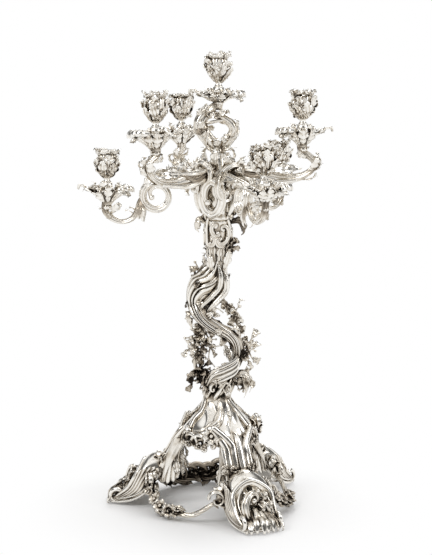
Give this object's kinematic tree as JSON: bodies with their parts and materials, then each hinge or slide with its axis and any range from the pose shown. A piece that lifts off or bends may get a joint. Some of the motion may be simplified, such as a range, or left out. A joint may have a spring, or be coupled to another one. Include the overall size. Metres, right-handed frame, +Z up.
{
  "type": "seven-light candelabrum",
  "caption": "Tall rococo candelabrum with a scrolled tripod foot, twisted vine trunk, lift-off branches, leafy drip pans and loose candle nozzles.",
  "frame": {"origin": "on the floor, under the middle of the bounding box", "axes": "+Z up the stem; +X to the right and +Y away from the viewer in the picture's view"},
  "size_m": [0.3946, 0.386, 0.7551],
  "materials": {
    "silver": "polished, darkened in the recesses",
    "steel": "plain"
  },
  "bodies": {
    "stand": {"base_dome": "silver", "base_stud": "steel", "base_washer": "steel", "base_nut": "steel", "leg_left": "silver", "leg_front": "silver", "leg_back": "silver", "garland_front_left": "silver", "garland_right": "silver", "garland_back_left": "silver", "lower_knop": "silver", "column": "silver", "trunk": "silver", "vine_right": "silver", "vine_left": "silver", "spray_right_upper": "silver", "spray_right_lower": "silver", "spray_left_upper": "silver", "spray_left_lower": "silver", "spray_swirl_left": "silver", "spray_swirl_right": "silver", "spray_vine": "silver", "capital_leaf_left": "silver", "capital_leaf_right": "silver"},
    "branches": {"hub": "silver", "arm_low_left": "silver", "pan_low_left": "silver", "socket_low_left": "silver", "screw_low_left": "steel", "arm_low_front": "silver", "pan_low_front": "silver", "socket_low_front": "silver", "screw_low_front": "steel", "arm_low_back": "silver", "pan_low_back": "silver", "socket_low_back": "silver", "screw_low_back": "steel", "arm_high_right": "silver", "pan_high_right": "silver", "socket_high_right": "silver", "screw_high_right": "steel", "arm_high_back": "silver", "pan_high_back": "silver", "socket_high_back": "silver", "screw_high_back": "steel", "arm_high_front": "silver", "pan_high_front": "silver", "socket_high_front": "silver", "screw_high_front": "steel"},
    "centre_light": {"centre_stem": "silver", "pan_centre": "silver", "socket_centre": "silver", "screw_centre": "steel"},
    "nozzle_low_left": {"nozzle_low_left": "silver"},
    "nozzle_low_front": {"nozzle_low_front": "silver"},
    "nozzle_low_back": {"nozzle_low_back": "silver"},
    "nozzle_high_right": {"nozzle_high_right": "silver"},
    "nozzle_high_back": {"nozzle_high_back": "silver"},
    "nozzle_high_front": {"nozzle_high_front": "silver"},
    "nozzle_centre": {"nozzle_centre": "silver"}
  },
  "joints": [
    {"name": "branches_lift", "type": "slide", "parent": "stand", "child": "branches", "axis": [0, 0, 1], "range_m": [0, 0.046]},
    {"name": "centre_light_lift", "type": "slide", "parent": "branches", "child": "centre_light", "axis": [0, 0, 1], "range_m": [0, 0.03]},
    {"name": "nozzle_low_left_lift", "type": "slide", "parent": "branches", "child": "nozzle_low_left", "axis": [0, 0, 1], "range_m": [0, 0.03]},
    {"name": "nozzle_low_front_lift", "type": "slide", "parent": "branches", "child": "nozzle_low_front", "axis": [0, 0, 1], "range_m": [0, 0.03]},
    {"name": "nozzle_low_back_lift", "type": "slide", "parent": "branches", "child": "nozzle_low_back", "axis": [0, 0, 1], "range_m": [0, 0.03]},
    {"name": "nozzle_high_right_lift", "type": "slide", "parent": "branches", "child": "nozzle_high_right", "axis": [0, 0, 1], "range_m": [0, 0.03]},
    {"name": "nozzle_high_back_lift", "type": "slide", "parent": "branches", "child": "nozzle_high_back", "axis": [0, 0, 1], "range_m": [0, 0.03]},
    {"name": "nozzle_high_front_lift", "type": "slide", "parent": "branches", "child": "nozzle_high_front", "axis": [0, 0, 1], "range_m": [0, 0.03]},
    {"name": "nozzle_centre_lift", "type": "slide", "parent": "centre_light", "child": "nozzle_centre", "axis": [0, 0, 1], "range_m": [0, 0.03]}
  ]
}
